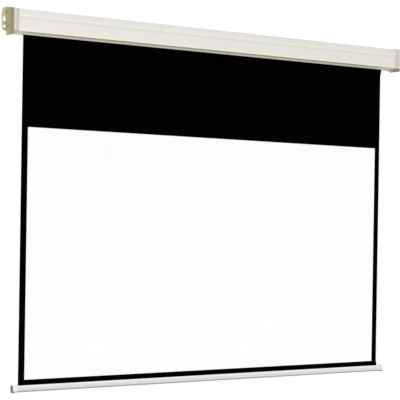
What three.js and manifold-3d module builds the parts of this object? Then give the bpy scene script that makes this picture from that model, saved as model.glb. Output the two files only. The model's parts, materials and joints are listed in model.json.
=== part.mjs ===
// A wall-mounted roll-down projection screen with a tubular motor, shown fully down.
// Lengths are in millimetres: +X runs along the case to the viewer's right, -Y faces
// the viewer, +Z is up, and the origin is the middle of the case's back face.

import * as THREE from "three";
import { mergeVertices } from "three/addons/utils/BufferGeometryUtils.js";
import Module from "manifold-3d";

const wasm = await Module();
wasm.setup();

// Fits and overruns
const gap = 0.3;
const overrun = 1;

// Numbers of sides and steps
const fineSides = 48;
const coarseSides = 20;
const filletSteps = 5;
const edgeSteps = 3;

// Sheet
const imageWidth = 1940;
const imageAspectShare = 16 / 9;
const sideBorder = 30;
const blackDrop = 400;
const lowerBorder = 24;
const clothThickness = 0.6;
const imageThickness = 0.3;
const sheetOffset = -4.4;
const sheetFromWall = 18;

// Case
const casePastSheet = 49;
const faceHeight = 95;
const caseDepth = 74;
const caseWall = 1.6;
const edgeRadius = 2.6;
const upperStripHeight = 32;
const upperStripProud = 1;
const slotLipDrop = 6.8;
const slotWidth = 12;
const slotHemHeight = 5;
const tongueHeight = 8;
const tongueRoot = 6;

// End caps and their collars
const capFlange = 11;
const capProud = 2.2;
const capWall = 3.5;
const capRim = 2.4;
const collarLength = 13.3;
const collarProud = 1.4;
const collarSeat = 0.8;

// Wall plates
const plateThickness = 2;
const plateSetback = 1;
const plateRise = 13.5;
const plateDrop = 6;
const plateCornerRadius = 6;
const earWidth = 21;
const earLift = 4;
const holesFromBend = 9.6;
const keyholeRadius = 7.8;
const keyholeSlotWidth = 8.6;
const keyholeHeight = 6;
const keyholeSlotTop = 23.2;
const lowerHoleRadius = 6.4;
const lowerHoleHeight = -23.2;

// Screws
const screwRadius = 1.8;
const screwHole = 2.15;
const screwHeadRadius = 3.9;
const screwHeadHeight = 2.4;
const screwSlotWidth = 0.9;
const screwSlotDepth = 1.2;
const caseScrewLength = 38;
const bracketScrewEdge = 6;

// Roller and wound cloth
const rollerRadius = 20;
const rollerWall = 1.2;
const rollerEndRoom = 6;
const woundThickness = 1.2;
const keyWidth = 6;
const keyLength = 4;

// End brackets inside the case
const bracketWidth = 50;
const bracketSetback = 19.5;
const bracketThickness = 3;

// Motor
const headRadius = 20.4;
const headLength = 18;
const studSize = 12;
const motorRadius = 17.5;
const motorWall = 1.1;
const crownFlange = 3;
const crownSleeve = 15;
const crownRunning = 1;
const crownGap = 0.5;
const limitUnitLength = 168;
const driveLength = 210;
const gearboxLength = 120;
const shaftRadius = 6;
const shaftSquare = 10;
const shaftSeat = 12;
const driveWheelLength = 22;

// Limit-setting screws in the motor's head
const limitScrewRadius = 2.6;
const limitScrewLength = 6;
const limitScrewSpacing = 12;
const limitScrewDrop = 13;
const limitRecessDepth = 7;
const hexAcross = 2.5;
const hexDepth = 2.5;
const accessRadius = 3.1;

// Idler end
const idlerPinRadius = 5;
const idlerBushRadius = 8;
const idlerBossRadius = 12;
const idlerBossLength = 14;
const idlerPlugLength = 30;
const idlerPinSeat = 20;

// Cable gland and the lead inside the case
const glandSetback = 18;
const glandRise = 16.3;
const glandThreadRadius = 6;
const glandHexRadius = 9;
const glandHexLength = 5;
const glandDomeRadius = 8.2;
const glandDomeLength = 13;
const glandNutLength = 4;
const leadRadius = 2.6;
const leadBendShare = 0.7;

// Bottom bar
const barPastSheet = 8;
const barHeight = 29;
const barDepth = 20;
const barWall = 1.8;
const barTopRadius = 2;
const barFootRadius = 7;
const barSlotWidth = 3;
const hemWallDepth = 2;
const hemRodRadius = 3;
const barCapFlange = 14.5;
const barCapProud = 2.4;
const barCapNeck = 11;
const barCapInset = 0.5;
const barCapPlug = 20;
const barCapEdge = 2.4;

// Places that follow from the sizes above
const imageHeight = imageWidth / imageAspectShare;
const sheetWidth = imageWidth + 2 * sideBorder;
const caseLength = sheetWidth + 2 * casePastSheet;
const barLength = sheetWidth + 2 * barPastSheet;
const top = faceHeight / 2;
const bottom = -top;
const lipBottom = bottom - slotLipDrop;
const glandHeight = lipBottom + glandRise;
const seam = top - upperStripHeight;
const slotRear = slotWidth / 2 - sheetFromWall;
const slotFront = -slotWidth / 2 - sheetFromWall;
const lipFront = slotFront - caseWall;
const coverFront = upperStripProud - caseDepth;
const bossDepth = plateThickness + gap + screwHeadRadius;
const bossRadius = bossDepth - caseWall / 2;
const bosses = [
  [-bossDepth, top - bossDepth],
  [bossDepth - caseDepth, top - bossDepth],
  [coverFront + bossDepth, bottom + bossDepth],
];
const postRadius = bossDepth - collarSeat - gap;
const woundRadius = rollerRadius + gap + woundThickness;
const rollerBack = sheetFromWall + gap + woundRadius;
const boreRadius = rollerRadius - rollerWall;
const caseEnd = caseLength / 2;
const collarStart = caseEnd + gap;
const collarEnd = collarStart + collarLength;
const capStart = collarEnd + gap;
const capEnd = capStart + capFlange;
const capInner = capEnd - capWall;
const plateStart = capEnd + gap;
const plateEnd = plateStart + plateThickness;
const bracketEnd = capInner - gap;
const bracketStart = bracketEnd - bracketThickness;
const bracketHeight = faceHeight - 2 * bracketSetback;
const headEnd = bracketStart - gap;
const headStart = headEnd - headLength;
const rollerEnd = caseEnd - rollerEndRoom;
const barTop = lipBottom - blackDrop - imageHeight - lowerBorder;
const sheetMiddle = -sheetFromWall + clothThickness / 2;
const sheetLeft = sheetOffset - sheetWidth / 2;
const sheetRight = sheetOffset + sheetWidth / 2;

// Materials
const material = (color, roughness, metalness) =>
  new THREE.MeshStandardMaterial({ color, roughness, metalness });
const creamPaint = material("#e9e6df", 0.45, 0.1);
const creamPlastic = material("#e2ddd2", 0.5, 0);
const greyPlastic = material("#c9c6bf", 0.55, 0);
const platePaint = material("#b5ad90", 0.5, 0.2);
const zincSteel = material("#b9bcc0", 0.35, 1);
const darkSteel = material("#6d6f72", 0.4, 1);
const aluminium = material("#c8cacd", 0.35, 1);
const blackPlastic = material("#1b1b1d", 0.5, 0);
const blackCloth = material("#060606", 0.85, 0);
const whiteCloth = material("#fcfcfc", 0.9, 0);
const whitePaint = material("#e8e7ec", 0.4, 0.1);
const whitePlastic = material("#f0ebe2", 0.5, 0);

// The corners of an outline, given as [across, up, radius], with round ones filleted
function outline(corners) {
  return corners.flatMap(([across, up, radius = 0], index) => {
    const corner = new THREE.Vector2(across, up);
    if (radius === 0) return [corner];
    const next = corners[(index + 1) % corners.length];
    const before = new THREE.Vector2(...corners.at(index - 1)).sub(corner).normalize();
    const after = new THREE.Vector2(...next).sub(corner).normalize();
    const half = Math.acos(before.dot(after)) / 2;
    const centre = before
      .clone()
      .add(after)
      .normalize()
      .multiplyScalar(radius / Math.sin(half))
      .add(corner);
    const start = before.multiplyScalar(radius / Math.tan(half)).add(corner);
    const turn = -Math.sign(start.clone().sub(corner).cross(after)) * (Math.PI - 2 * half);
    return Array.from({ length: filletSteps + 1 }, (_, step) =>
      start.clone().rotateAround(centre, (turn * step) / filletSteps),
    );
  });
}

function circle(across, up, radius, sides = coarseSides) {
  return Array.from({ length: sides }, (_, index) => {
    const angle = (2 * Math.PI * (index + 0.5)) / sides;
    const x = across + radius * Math.cos(angle);
    return new THREE.Vector2(x, up + radius * Math.sin(angle));
  });
}

function rectangle(across, up, width, height) {
  const right = across + width / 2;
  const high = up + height / 2;
  return outline([
    [right - width, high - height],
    [right, high - height],
    [right, high],
    [right - width, high],
  ]);
}

function prism(points, length, holes) {
  const shape = new THREE.Shape(points);
  shape.holes = holes.map((hole) => new THREE.Path(hole));
  return new THREE.ExtrudeGeometry(shape, { depth: length, bevelEnabled: false });
}

// A solid prism whose end edges are rounded
function roundedPrism(points, length, edge) {
  return new THREE.ExtrudeGeometry(new THREE.Shape(points), {
    depth: length - 2 * edge,
    bevelThickness: edge,
    bevelSize: edge,
    bevelOffset: -edge,
    bevelSegments: edgeSteps,
  }).translate(0, 0, edge);
}

const turnToX = (start) =>
  new THREE.Matrix4().set(0, 0, 1, start, 1, 0, 0, 0, 0, 1, 0, 0, 0, 0, 0, 1);

// A prism along X between two places, from an outline in Y and Z
function alongX(points, from, to, holes = []) {
  return prism(points, to - from, holes).applyMatrix4(turnToX(from));
}

// The same, from an outline in X and Z, between two places in Y
function alongY(points, front, back, holes = []) {
  const turn = new THREE.Matrix4().set(1, 0, 0, 0, 0, 0, -1, back, 0, 1, 0, 0, 0, 0, 0, 1);
  return prism(points, back - front, holes).applyMatrix4(turn);
}

// A prism along X at the right end, or its mirror image at the left end
function atEnd(side, points, from, to, holes = []) {
  if (side > 0) return alongX(points, from, to, holes);
  return alongX(points, -to, -from, holes);
}

// A body turned about the X axis, from a profile of [place along X, radius]
function turned(profile, sides = fineSides) {
  const points = profile.map(([along, radius]) => new THREE.Vector2(radius, along));
  return new THREE.LatheGeometry(points, sides).rotateZ(-Math.PI / 2);
}

// Solids for joining and cutting
function solid(geometry) {
  const bare = geometry.index ? geometry.toNonIndexed() : geometry;
  const positions = new THREE.BufferGeometry();
  positions.setAttribute("position", bare.getAttribute("position"));
  const merged = mergeVertices(positions);
  const triangles = new wasm.Mesh({
    numProp: 3,
    vertProperties: merged.getAttribute("position").array,
    triVerts: new Uint32Array(merged.index.array),
  });
  return new wasm.Manifold(triangles);
}

function surface(body) {
  const { numProp, vertProperties, triVerts } = body.getMesh();
  const positions = new THREE.BufferAttribute(new Float32Array(vertProperties), numProp);
  return new THREE.BufferGeometry()
    .setAttribute("position", positions)
    .setIndex(new THREE.BufferAttribute(triVerts, 1));
}

const joined = (first, ...others) =>
  surface(others.reduce((body, other) => body.add(solid(other)), solid(first)));
const cut = (first, ...tools) =>
  surface(tools.reduce((body, tool) => body.subtract(solid(tool)), solid(first)));

function piece(name, geometry, finish) {
  const mesh = new THREE.Mesh(geometry, finish);
  mesh.name = name;
  return mesh;
}

// The case's outside, with every edge but the back moved out by an offset
function caseOutline(offset) {
  const back = Math.min(offset, 0);
  const radius = edgeRadius + offset;
  return outline([
    [-caseDepth - offset, bottom - offset, radius],
    [lipFront - offset, bottom - offset],
    [lipFront - offset, lipBottom - offset],
    [back, lipBottom - offset],
    [back, top + offset],
    [-caseDepth - offset, top + offset, radius],
  ]);
}

// Back, top and upper front strip of the case, with the slot's rear edge turned up
function channelOutline() {
  const inner = edgeRadius - caseWall;
  return outline([
    [slotRear, lipBottom],
    [0, lipBottom, edgeRadius],
    [0, top, edgeRadius],
    [-caseDepth, top, edgeRadius],
    [-caseDepth, seam],
    [caseWall - caseDepth, seam],
    [caseWall - caseDepth, top - caseWall, inner],
    [-caseWall, top - caseWall, inner],
    [-caseWall, lipBottom + caseWall, inner],
    [slotRear + caseWall, lipBottom + caseWall],
    [slotRear + caseWall, lipBottom + slotHemHeight],
    [slotRear, lipBottom + slotHemHeight],
  ]);
}

// Front and underside of the case, hooked behind the strip above and turned down at the slot
function coverOutline() {
  const inner = edgeRadius - caseWall;
  const tongueFront = caseWall + gap - caseDepth;
  const tongueBack = tongueFront + caseWall;
  return outline([
    [coverFront, seam - gap],
    [coverFront, bottom, edgeRadius],
    [lipFront, bottom],
    [lipFront, lipBottom],
    [slotFront, lipBottom],
    [slotFront, bottom + caseWall],
    [coverFront + caseWall, bottom + caseWall, inner],
    [coverFront + caseWall, seam - tongueRoot],
    [tongueBack, seam - tongueRoot],
    [tongueBack, seam + tongueHeight],
    [tongueFront, seam + tongueHeight],
    [tongueFront, seam - gap],
  ]);
}

// A long profile of the case, with screw bosses in its corners
function caseProfile(points, places) {
  const shell = alongX(points, -caseEnd, caseEnd);
  const posts = places.map(([y, z]) => alongX(circle(y, z, bossRadius), -caseEnd, caseEnd));
  const reach = caseEnd + overrun;
  const bores = places.map(([y, z]) => alongX(circle(y, z, screwHole), -reach, reach));
  return cut(joined(shell, ...posts), ...bores);
}

const bracketScrews = [-1, 1].map((turn) => [
  turn * (bracketWidth / 2 - bracketScrewEdge) - rollerBack,
  -turn * (bracketHeight / 2 - bracketScrewEdge),
]);
const limitScrews = [-1, 1].map((turn) => [
  (turn * limitScrewSpacing) / 2 - rollerBack,
  -limitScrewDrop,
]);

// The holes that an end's wall plate and cap share
function endHoles(side) {
  const screws = [...bosses, ...bracketScrews].map(([y, z]) => circle(y, z, screwHole));
  if (side < 0) return screws;
  const access = limitScrews.map(([y, z]) => circle(y, z, accessRadius));
  return [...screws, ...access, circle(-glandSetback, glandHeight, glandThreadRadius + gap)];
}

// Moulded end cap: a shallow tray with posts that reach the case's screw bosses
function endCap(side) {
  const tray = atEnd(side, caseOutline(capProud), capStart, capEnd);
  const pocket = atEnd(side, caseOutline(-capRim), capStart - overrun, capInner);
  const start = collarStart;
  const posts = bosses.map(([y, z]) => atEnd(side, circle(y, z, postRadius), start, capEnd));
  const far = capEnd + overrun;
  const holes = endHoles(side).map((hole) => atEnd(side, hole, start - overrun, far));
  return cut(joined(cut(tray, pocket), ...posts), ...holes);
}

const collar = (side) =>
  atEnd(side, caseOutline(collarProud), collarStart, collarEnd, [caseOutline(-collarSeat)]);

// Steel wall plate: a side with sloping top, and an ear that lies against the wall
function plateSide(side) {
  const front = plateSetback - caseDepth - capProud;
  const low = lipBottom - capProud - plateDrop;
  const web = outline([
    [front, low, plateCornerRadius],
    [0, low, plateCornerRadius],
    [0, top + plateRise],
    [front, top + capProud, edgeRadius],
  ]);
  return atEnd(side, web, plateStart, plateEnd, endHoles(side));
}

function plateEar(side) {
  const middle = side * (plateEnd + holesFromBend);
  const root = side * (plateStart + plateThickness / 2);
  const tip = side * (plateEnd + earWidth);
  const ear = outline([
    [root, bottom + earLift],
    [tip, bottom + earLift, earWidth],
    [tip, top + plateRise, earWidth],
    [root, top + plateRise],
  ]);
  const slotEnd = keyholeSlotTop - keyholeSlotWidth / 2;
  const slotMiddle = (keyholeHeight + slotEnd) / 2;
  const slot = rectangle(middle, slotMiddle, keyholeSlotWidth, slotEnd - keyholeHeight);
  const holes = [
    circle(middle, keyholeHeight, keyholeRadius),
    slot,
    circle(middle, slotEnd, keyholeSlotWidth / 2),
    circle(middle, lowerHoleHeight, lowerHoleRadius),
  ];
  const back = overrun;
  const front = -plateThickness - overrun;
  const tools = holes.map((hole) => alongY(hole, front, back));
  return cut(alongY(ear, -plateThickness, 0), ...tools);
}

const wallPlate = (side) => joined(plateSide(side), plateEar(side));

// Pan-head screw with a crossed slot, its head seated on the plate's outer side
function screw(side, [y, z], length) {
  const seat = gap;
  const crown = seat + screwHeadHeight;
  const blank = turned(
    [
      [seat - length, 0],
      [seat - length, screwRadius],
      [seat, screwRadius],
      [seat, screwHeadRadius],
      [crown - screwSlotWidth, screwHeadRadius],
      [crown, screwHeadRadius - screwSlotWidth],
      [crown, 0],
    ],
    coarseSides,
  );
  const across = screwHeadRadius;
  const slots = [
    [across, screwSlotWidth],
    [screwSlotWidth, across],
  ].map(([wide, high]) =>
    alongX(rectangle(0, 0, wide, high), crown - screwSlotDepth, crown + overrun),
  );
  const shaped = cut(blank, ...slots);
  if (side < 0) shaped.rotateZ(Math.PI);
  return shaped.translate(side * plateEnd, y, z);
}

// Everything that is alike at both ends of the case
function caseEndPieces(side, label) {
  const group = new THREE.Group();
  group.add(
    piece(`${label}_collar`, collar(side), greyPlastic),
    piece(`${label}_end_cap`, endCap(side), creamPlastic),
    piece(`${label}_wall_plate`, wallPlate(side), platePaint),
  );
  bosses.forEach((place, index) => {
    const name = `${label}_case_screw_${index + 1}`;
    group.add(piece(name, screw(side, place, caseScrewLength), zincSteel));
  });
  const shortLength = plateThickness + gap + capWall + gap + bracketThickness;
  bracketScrews.forEach((place, index) => {
    const name = `${label}_bracket_screw_${index + 1}`;
    group.add(piece(name, screw(side, place, shortLength), zincSteel));
  });
  return group;
}

// Square bracket plate that carries one end of the roller, centred on the roller's axis
function bracketPlate(side, extraHoles) {
  const plate = rectangle(-rollerBack, 0, bracketWidth, bracketHeight);
  const holes = bracketScrews.map(([y, z]) => circle(y, z, screwHole));
  return atEnd(side, plate, bracketStart, bracketEnd, [...holes, ...extraHoles]);
}

function motorBracket() {
  const stud = rectangle(-rollerBack, 0, studSize + 2 * gap, studSize + 2 * gap);
  const access = limitScrews.map(([y, z]) => circle(y, z, accessRadius));
  return bracketPlate(1, [stud, ...access]);
}

function idlerBracket() {
  const ring = (radius) => circle(-rollerBack, 0, radius, fineSides);
  const inner = bracketStart - idlerBossLength;
  const boss = atEnd(-1, ring(idlerBossRadius), inner, bracketStart + gap);
  const bore = atEnd(-1, ring(idlerBushRadius + gap), inner - overrun, bracketEnd + overrun);
  return cut(joined(bracketPlate(-1, []), boss), bore);
}

function idlerBush() {
  const ring = (radius) => circle(-rollerBack, 0, radius, fineSides);
  const inner = bracketStart - idlerBossLength;
  return atEnd(-1, ring(idlerBushRadius), inner, bracketEnd, [ring(idlerPinRadius + gap)]);
}

// The fixed part of the motor: head with its square stud, housing, motor and gearbox
function motorHead() {
  const disc = alongX(circle(0, 0, headRadius, fineSides), headStart, headEnd);
  const stud = alongX(rectangle(0, 0, studSize, studSize), headStart + overrun, bracketEnd);
  const recessStart = headEnd - limitRecessDepth;
  const recesses = limitScrews.map(([y, z]) =>
    alongX(circle(y + rollerBack, z, accessRadius), recessStart, headEnd + overrun),
  );
  return cut(joined(disc, stud), ...recesses);
}

const limitUnitEnd = headStart - gap - motorWall - gap;
const limitUnitStart = limitUnitEnd - limitUnitLength;
const driveEnd = limitUnitStart - gap;
const driveStart = driveEnd - driveLength;
const gearboxEnd = driveStart - gap;
const motorStart = gearboxEnd - gearboxLength;
const motorCore = motorRadius - motorWall - gap;

const motorHousing = () =>
  cut(
    alongX(circle(0, 0, motorRadius, fineSides), motorStart, headStart - gap),
    alongX(
      circle(0, 0, motorRadius - motorWall, fineSides),
      motorStart - overrun,
      headStart - gap - motorWall,
    ),
  );

function gearbox() {
  const body = alongX(circle(0, 0, motorCore, fineSides), motorStart, gearboxEnd);
  const bore = circle(0, 0, shaftRadius + gap, fineSides);
  return cut(body, alongX(bore, motorStart - overrun, motorStart + shaftSeat + gap));
}

const driveMotor = () =>
  alongX(circle(0, 0, motorCore, fineSides), driveStart, driveEnd);

const limitSwitchUnit = () =>
  alongX(circle(0, 0, motorCore, fineSides), limitUnitStart, limitUnitEnd);

// Small hex-socket screw that sets one end of the travel
function limitScrew() {
  const start = headEnd - limitScrewLength;
  const end = headEnd;
  const socket = circle(0, 0, hexAcross / 2 / Math.cos(Math.PI / 6), 6);
  const rod = alongX(circle(0, 0, limitScrewRadius), start, end);
  return cut(rod, alongX(socket, end - hexDepth, end + overrun));
}

// The turning part: tube, cloth left on it, plug and pin, crown, shaft and drive wheel
const rollerTube = () =>
  cut(
    alongX(
      circle(0, 0, rollerRadius, fineSides),
      -rollerEnd,
      rollerEnd,
      [circle(0, 0, boreRadius, fineSides)],
    ),
    alongX(
      rectangle(0, (rollerRadius + boreRadius) / 2, keyWidth + 2 * gap, rollerWall + 2 * gap),
      rollerEnd - keyLength - gap,
      rollerEnd + overrun,
    ),
  );

const woundCloth = () =>
  alongX(
    circle(0, 0, woundRadius, fineSides),
    sheetLeft,
    sheetRight,
    [circle(0, 0, rollerRadius + gap, fineSides)],
  );

function limitCrown() {
  const flangeStart = rollerEnd + gap;
  const flangeEnd = flangeStart + crownFlange;
  const inner = motorRadius + crownGap;
  const sleeve = [circle(0, 0, inner, fineSides)];
  const keyMiddle = (rollerRadius + boreRadius) / 2;
  return joined(
    alongX(circle(0, 0, rollerRadius, fineSides), flangeStart, flangeEnd, sleeve),
    alongX(
      circle(0, 0, boreRadius - gap, fineSides),
      flangeEnd - crownSleeve - crownFlange,
      flangeEnd - overrun,
      sleeve,
    ),
    alongX(
      rectangle(0, keyMiddle, keyWidth, rollerWall),
      rollerEnd - keyLength,
      flangeStart + overrun,
    ),
  );
}

const shaftTip = motorStart - crownRunning - driveWheelLength;

const motorShaft = () =>
  joined(
    alongX(
      circle(0, 0, shaftRadius, fineSides),
      motorStart - crownRunning,
      motorStart + shaftSeat,
    ),
    alongX(rectangle(0, 0, shaftSquare, shaftSquare), shaftTip, motorStart),
  );

const driveWheel = () =>
  alongX(
    circle(0, 0, boreRadius - gap, fineSides),
    shaftTip,
    motorStart - crownRunning,
    [rectangle(0, 0, shaftSquare + 2 * gap, shaftSquare + 2 * gap)],
  );

function idlerPlug() {
  const end = rollerEnd + gap + crownFlange;
  const sleeveEnd = rollerEnd + gap - idlerPlugLength;
  const bore = circle(0, 0, idlerPinRadius + gap, fineSides);
  return joined(
    atEnd(-1, circle(0, 0, rollerRadius, fineSides), rollerEnd + gap, end, [bore]),
    atEnd(-1, circle(0, 0, boreRadius - gap, fineSides), sleeveEnd, end - overrun, [bore]),
  );
}

const idlerPin = () =>
  atEnd(-1, circle(0, 0, idlerPinRadius, fineSides), rollerEnd - idlerPinSeat, bracketEnd);

// Cable gland through the right end, its lock nut, and the lead from it to the motor
const glandStart = capInner - gap - glandNutLength - overrun;
const glandHexEnd = plateEnd + gap + glandHexLength;
const glandTip = glandHexEnd + glandDomeLength;

function cableGland() {
  const body = joined(
    turned([
      [glandStart, 0],
      [glandStart, glandThreadRadius],
      [plateEnd + gap + overrun, glandThreadRadius],
      [plateEnd + gap + overrun, glandDomeRadius],
      [glandTip - glandDomeRadius / 2, glandDomeRadius],
      [glandTip, glandDomeRadius / 2],
      [glandTip, 0],
    ]),
    alongX(circle(0, 0, glandHexRadius, 6), plateEnd + gap, glandHexEnd),
  );
  const bore = circle(0, 0, leadRadius + gap);
  return cut(body, alongX(bore, glandStart - overrun, glandTip + overrun));
}

const glandNut = () =>
  alongX(
    circle(0, 0, glandHexRadius, 6),
    capInner - gap - glandNutLength,
    capInner - gap,
    [circle(0, 0, glandThreadRadius + gap)],
  );

function motorLead() {
  const drop = headStart + headLength / 2;
  const under = -headRadius - gap;
  const leadBend = leadBendShare * (under - glandHeight);
  const start = new THREE.Vector3(drop, -rollerBack, under);
  const knee = new THREE.Vector3(drop, -rollerBack, glandHeight + leadBend);
  const low = new THREE.Vector3(drop, -rollerBack + leadBend / 2, glandHeight);
  const turnIn = new THREE.Vector3(drop, -glandSetback - leadBend / 2, glandHeight);
  const inside = new THREE.Vector3(glandStart, -glandSetback, glandHeight);
  const end = new THREE.Vector3(glandTip, -glandSetback, glandHeight);
  const route = new THREE.CurvePath();
  route.add(new THREE.LineCurve3(start, knee));
  route.add(new THREE.QuadraticBezierCurve3(knee, knee.clone().setZ(glandHeight), low));
  route.add(new THREE.LineCurve3(low, turnIn));
  route.add(new THREE.QuadraticBezierCurve3(turnIn, turnIn.clone().setY(-glandSetback), inside));
  route.add(new THREE.LineCurve3(inside, end));
  const section = new THREE.Shape(circle(0, 0, leadRadius, 8));
  return new THREE.ExtrudeGeometry(section, { steps: 24, extrudePath: route });
}

// Bottom bar: an extrusion whose top holds the sheet's hem, with a cap in each end
const hemEye = hemRodRadius + gap + clothThickness;
const channelHalf = hemEye + gap;
const channelBottom = -hemWallDepth - 2 * channelHalf;

function barOuter(offset) {
  const half = barDepth / 2 + offset;
  const footRadius = barFootRadius + offset;
  const topRadius = barTopRadius + offset;
  return outline([
    [-half, -barHeight - offset, footRadius],
    [half, -barHeight - offset, footRadius],
    [half, offset, topRadius],
    [-half, offset, topRadius],
  ]);
}

function barChamber(inset) {
  const half = barDepth / 2 - barWall - inset;
  const radius = barFootRadius - barWall - inset;
  const high = channelBottom - barWall - inset;
  return outline([
    [-half, barWall + inset - barHeight, radius],
    [half, barWall + inset - barHeight, radius],
    [half, high],
    [-half, high],
  ]);
}

function barProfile() {
  const reach = barLength / 2 + overrun;
  const body = alongX(barOuter(0), -barLength / 2, barLength / 2, [barChamber(0)]);
  const slotHeight = hemWallDepth + 2 * overrun;
  const slot = rectangle(0, overrun - slotHeight / 2, barSlotWidth, slotHeight);
  const middle = -hemWallDepth - channelHalf;
  const channel = rectangle(0, middle, 2 * channelHalf, 2 * channelHalf);
  return cut(body, alongX(slot, -reach, reach), alongX(channel, -reach, reach));
}

function barCap(side) {
  const start = barLength / 2 + gap;
  const neckEnd = start + barCapNeck;
  const neckTip = neckEnd + barCapFlange / 2;
  const neck = atEnd(side, barOuter(-barCapInset), start, neckTip);
  const plug = atEnd(side, barChamber(gap), start - barCapPlug, start + overrun);
  const head = roundedPrism(barOuter(barCapProud), barCapFlange, barCapEdge);
  head.applyMatrix4(turnToX(Math.min(side * neckEnd, side * (neckEnd + barCapFlange))));
  return joined(neck, plug, head);
}

const hemMiddle = -hemWallDepth - channelHalf;

function hem() {
  const low = hemMiddle + hemRodRadius + gap;
  const middle = (low + lowerBorder) / 2;
  const strip = rectangle(0, middle, 2 * clothThickness, lowerBorder - low);
  const eye = alongX(circle(0, hemMiddle, hemEye), sheetLeft, sheetRight, [
    circle(0, hemMiddle, hemRodRadius + gap),
  ]);
  return joined(eye, alongX(strip, sheetLeft, sheetRight));
}

const hemRod = () =>
  alongX(circle(0, hemMiddle, hemRodRadius), sheetLeft, sheetRight);

// Flat stretch of the sheet between two heights, with its front face at a distance in Y
function flatCloth(left, right, low, high, front, thickness) {
  const middle = front + thickness / 2;
  const face = rectangle(middle, (low + high) / 2, thickness, high - low);
  return alongX(face, left, right);
}

const hemTop = barTop + lowerBorder;
const clothFront = -sheetFromWall;
const imageFront = clothFront - gap - imageThickness;
const imageTop = lipBottom - blackDrop;

function sheetPieces() {
  const low = hemTop + gap;
  const cloth = flatCloth(sheetLeft, sheetRight, low, 0, clothFront, clothThickness);
  const left = sheetLeft + sideBorder;
  const right = sheetRight - sideBorder;
  const image = flatCloth(left, right, low, imageTop, imageFront, imageThickness);
  return [
    piece("screen_cloth", cloth, blackCloth),
    piece("image_face", image, whiteCloth),
  ];
}

// Fixed case with what it carries
const caseGroup = new THREE.Group();
caseGroup.add(
  piece("case_channel", caseProfile(channelOutline(), bosses.slice(0, 2)), creamPaint),
  piece("front_cover", caseProfile(coverOutline(), bosses.slice(2)), creamPaint),
  caseEndPieces(-1, "left"),
  caseEndPieces(1, "right"),
  piece("motor_bracket", motorBracket(), zincSteel),
  piece("idler_bracket", idlerBracket(), zincSteel),
  piece("idler_bush", idlerBush(), blackPlastic),
);

const motorGroup = new THREE.Group();
motorGroup.position.set(0, -rollerBack, 0);
motorGroup.add(
  piece("motor_head", motorHead(), blackPlastic),
  piece("motor_housing", motorHousing(), darkSteel),
  piece("gearbox", gearbox(), darkSteel),
  piece("drive_motor", driveMotor(), darkSteel),
  piece("limit_switch_unit", limitSwitchUnit(), blackPlastic),
);

["lower", "upper"].forEach((end, index) => {
  const [y, z] = limitScrews[index];
  const mesh = piece(`${end}_limit_screw`, limitScrew(), zincSteel);
  mesh.position.set(0, y, z);
  caseGroup.add(mesh);
});

const glandGroup = new THREE.Group();
glandGroup.position.set(0, -glandSetback, glandHeight);
glandGroup.add(
  piece("cable_gland", cableGland(), blackPlastic),
  piece("gland_nut", glandNut(), blackPlastic),
);
caseGroup.add(motorGroup, glandGroup, piece("motor_lead", motorLead(), blackPlastic));

// Roller, on the case's middle height
const rollerGroup = new THREE.Group();
rollerGroup.position.set(0, -rollerBack, 0);
rollerGroup.add(
  piece("roller_tube", rollerTube(), aluminium),
  piece("wound_cloth", woundCloth(), blackCloth),
  piece("limit_crown", limitCrown(), blackPlastic),
  piece("motor_shaft", motorShaft(), zincSteel),
  piece("drive_wheel", driveWheel(), blackPlastic),
  piece("idler_plug", idlerPlug(), blackPlastic),
  piece("idler_pin", idlerPin(), zincSteel),
);

// Bottom bar, hung from the hem
const barGroup = new THREE.Group();
barGroup.position.set(0, sheetMiddle, barTop);
barGroup.add(
  piece("bottom_bar", barProfile(), whitePaint),
  piece("left_bar_cap", barCap(-1), whitePlastic),
  piece("right_bar_cap", barCap(1), whitePlastic),
  piece("sheet_hem", hem(), blackCloth),
  piece("hem_rod", hemRod(), aluminium),
);

const screen = new THREE.Group();
screen.name = "projection_screen";
screen.add(caseGroup, rollerGroup, barGroup, ...sheetPieces());

export default screen;
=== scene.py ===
import json
import math

import bmesh
import bpy
from mathutils import Matrix, Vector


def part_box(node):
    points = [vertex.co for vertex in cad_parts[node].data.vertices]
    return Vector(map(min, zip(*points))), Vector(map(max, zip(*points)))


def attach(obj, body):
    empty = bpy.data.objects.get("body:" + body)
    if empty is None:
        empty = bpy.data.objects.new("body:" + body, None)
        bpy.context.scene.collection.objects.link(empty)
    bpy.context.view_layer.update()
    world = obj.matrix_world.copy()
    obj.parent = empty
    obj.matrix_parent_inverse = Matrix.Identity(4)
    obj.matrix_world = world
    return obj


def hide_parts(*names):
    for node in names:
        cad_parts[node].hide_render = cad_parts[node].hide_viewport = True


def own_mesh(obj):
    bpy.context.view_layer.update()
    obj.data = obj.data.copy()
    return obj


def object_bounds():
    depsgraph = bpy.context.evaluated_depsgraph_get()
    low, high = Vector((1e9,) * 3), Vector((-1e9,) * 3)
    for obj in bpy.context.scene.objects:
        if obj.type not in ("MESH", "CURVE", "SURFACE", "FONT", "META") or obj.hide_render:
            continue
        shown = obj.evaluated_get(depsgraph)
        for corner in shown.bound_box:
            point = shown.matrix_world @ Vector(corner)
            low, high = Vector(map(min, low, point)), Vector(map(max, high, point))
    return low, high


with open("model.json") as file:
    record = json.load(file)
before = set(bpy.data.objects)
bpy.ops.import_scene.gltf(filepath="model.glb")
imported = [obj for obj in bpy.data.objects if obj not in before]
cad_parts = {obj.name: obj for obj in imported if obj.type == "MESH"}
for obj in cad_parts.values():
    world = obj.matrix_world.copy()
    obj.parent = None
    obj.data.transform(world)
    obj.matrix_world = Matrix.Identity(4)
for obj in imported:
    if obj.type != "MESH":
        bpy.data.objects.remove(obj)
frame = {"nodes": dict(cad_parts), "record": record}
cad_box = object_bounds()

bl_info = {
    "name": "Roll-down projection screen",
    "version": (1, 0, 0),
    "blender": (4, 5, 0),
    "location": "View3D > Sidebar > Projection screen",
    "description": "Finishes, sheet and studio for a wall-mounted roll-down projection screen",
    "category": "Object",
}

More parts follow.
